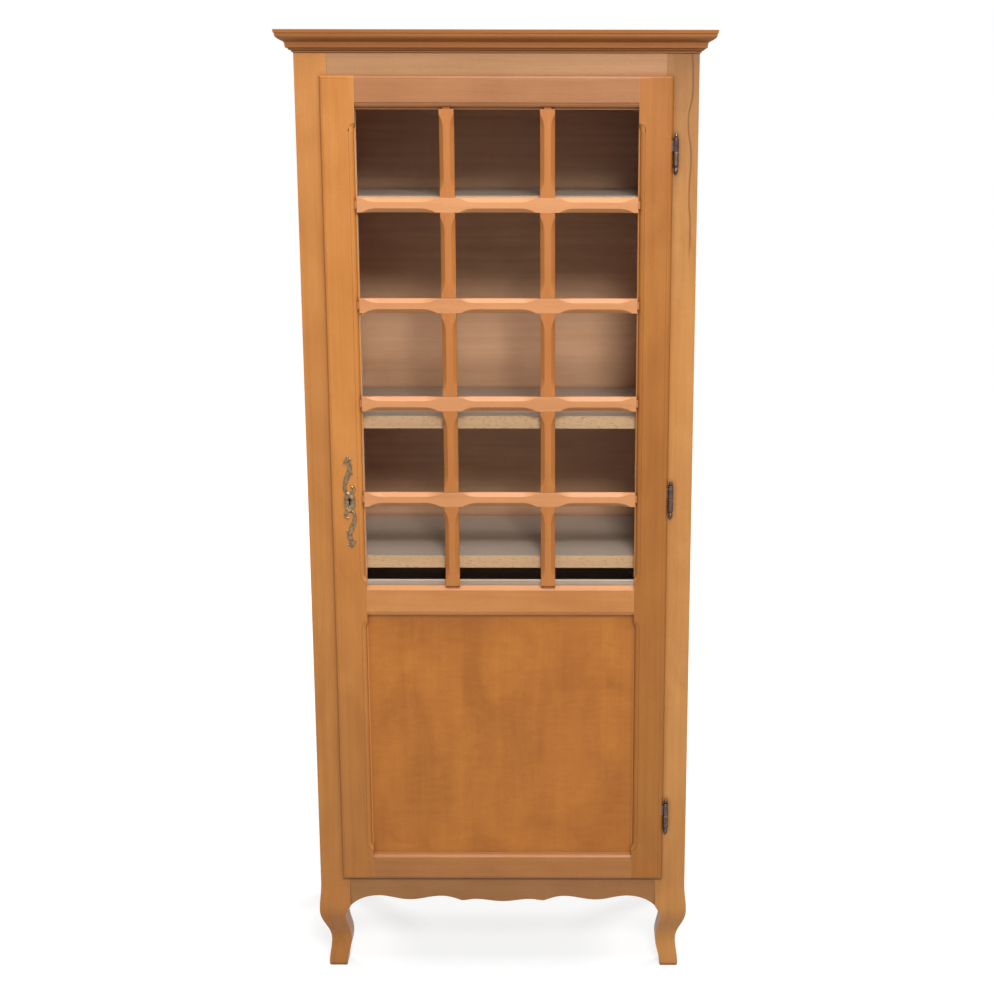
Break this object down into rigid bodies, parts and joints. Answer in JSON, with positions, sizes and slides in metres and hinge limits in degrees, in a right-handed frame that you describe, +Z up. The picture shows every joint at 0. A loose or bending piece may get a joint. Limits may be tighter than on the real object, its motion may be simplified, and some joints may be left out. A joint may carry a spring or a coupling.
{
  "type": "glazed display cabinet",
  "caption": "Tall free-standing wooden display cabinet with one glazed and panelled door, barred lights, inner shelves, moulded cornice and cabriole front feet.",
  "frame": {"origin": "middle of the footprint's bounding box on the floor", "axes": "+Z up, the front faces -Y, +X to the right as seen from the front"},
  "size_m": [0.814, 0.407, 1.89],
  "materials": {
    "carcass_wood": "satin honey stain",
    "door_wood": "satin honey stain",
    "beech": "raw beech",
    "bronze": "antique bronze",
    "steel": "plain",
    "glass": "clear"
  },
  "bodies": {
    "carcass": {"front_left_post": "carcass_wood", "front_right_post": "carcass_wood", "rear_left_post": "carcass_wood", "rear_right_post": "carcass_wood", "front_top_rail": "carcass_wood", "front_apron": "carcass_wood", "left_top_rail": "carcass_wood", "left_middle_rail": "carcass_wood", "left_apron": "carcass_wood", "left_upper_panel": "carcass_wood", "left_lower_panel": "carcass_wood", "right_top_rail": "carcass_wood", "right_middle_rail": "carcass_wood", "right_apron": "carcass_wood", "right_upper_panel": "carcass_wood", "right_lower_panel": "carcass_wood", "rear_top_rail": "beech", "rear_bottom_rail": "beech", "back_panel": "beech", "top_board": "carcass_wood", "bottom_board": "beech", "cornice_front": "carcass_wood", "cornice_left": "carcass_wood", "cornice_right": "carcass_wood", "upper_shelf": "beech", "middle_shelf": "beech", "lower_shelf": "beech", "shelf_cleats": "beech", "strike_plate": "bronze", "hinge_post_halves": "bronze"},
    "door": {"door_left_stile": "door_wood", "door_right_stile": "door_wood", "door_top_rail": "door_wood", "door_middle_rail": "door_wood", "door_bottom_rail": "door_wood", "door_panel": "door_wood", "upright_bar_left": "door_wood", "upright_bar_right": "door_wood", "level_bar_1": "door_wood", "level_bar_2": "door_wood", "level_bar_3": "door_wood", "level_bar_4": "door_wood", "glass_pane": "glass", "bead_top": "beech", "bead_bottom": "beech", "bead_left": "beech", "bead_right": "beech", "hinge_door_halves": "bronze", "escutcheon": "bronze", "lock_case": "steel"},
    "bolt": {"lock_bolt": "steel"}
  },
  "joints": [
    {"name": "door_swing", "type": "hinge", "parent": "carcass", "child": "door", "pos_m": [0.3335, -0.1775, 0], "axis": [0, 0, 1], "range_deg": [0, 170]},
    {"name": "bolt_slide", "type": "slide", "parent": "door", "child": "bolt", "axis": [-1, 0, 0], "range_m": [0, 0.008]}
  ]
}
